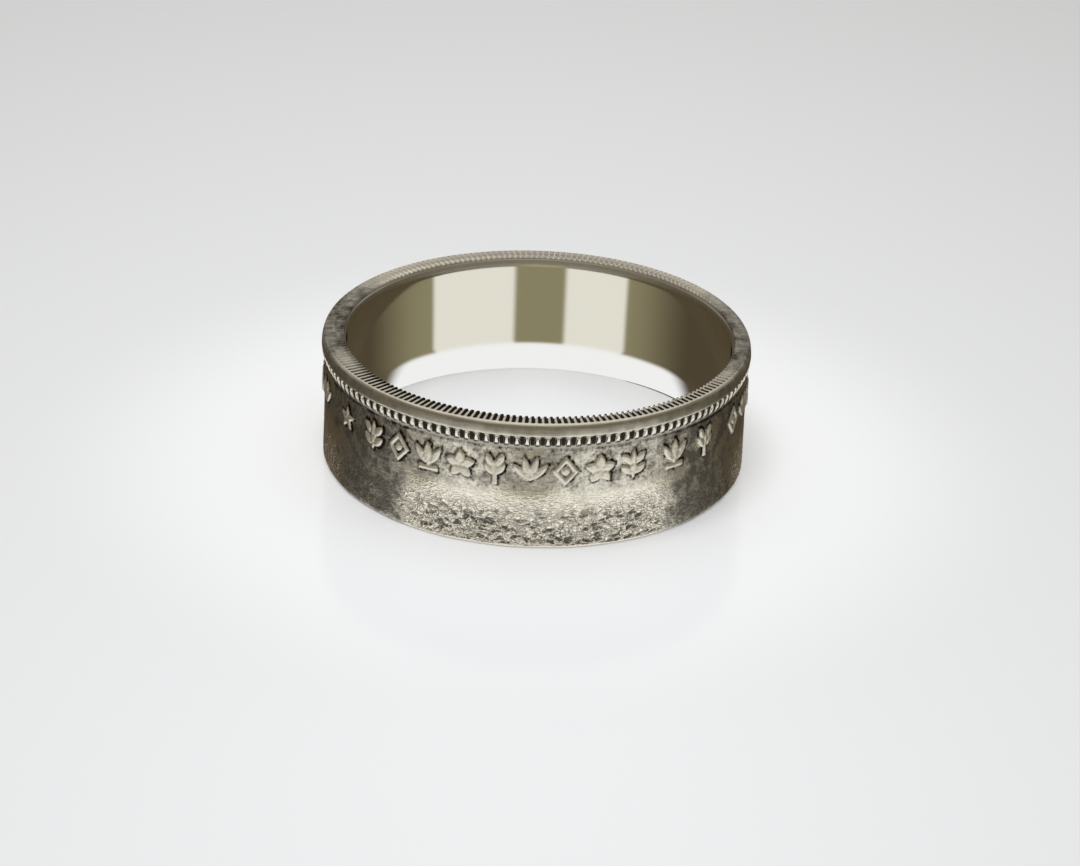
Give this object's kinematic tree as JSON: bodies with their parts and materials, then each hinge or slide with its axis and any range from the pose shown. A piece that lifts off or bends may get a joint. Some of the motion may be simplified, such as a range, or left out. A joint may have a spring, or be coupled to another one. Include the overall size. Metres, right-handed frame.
{
  "type": "coin ring",
  "caption": "Finger ring formed from a struck silver disc: milled top edge, plain rim, a row of denticles, raised ornaments and a creased lower wall round an open finger hole.",
  "frame": {"origin": "on the axis of the band's outside, at the flat foot that it rests on", "axes": "+Z along the finger hole, from the foot to the milled edge; -Y is the side that faces the viewer; +X is to the viewer's right"},
  "size_m": [0.0208, 0.0208, 0.0064],
  "materials": {
    "silver": "aged coin silver: dark patina in the recesses, worn bright on the relief, polished inside the hole"
  },
  "bodies": {
    "root": {"ring_band": "silver"}
  },
  "joints": []
}
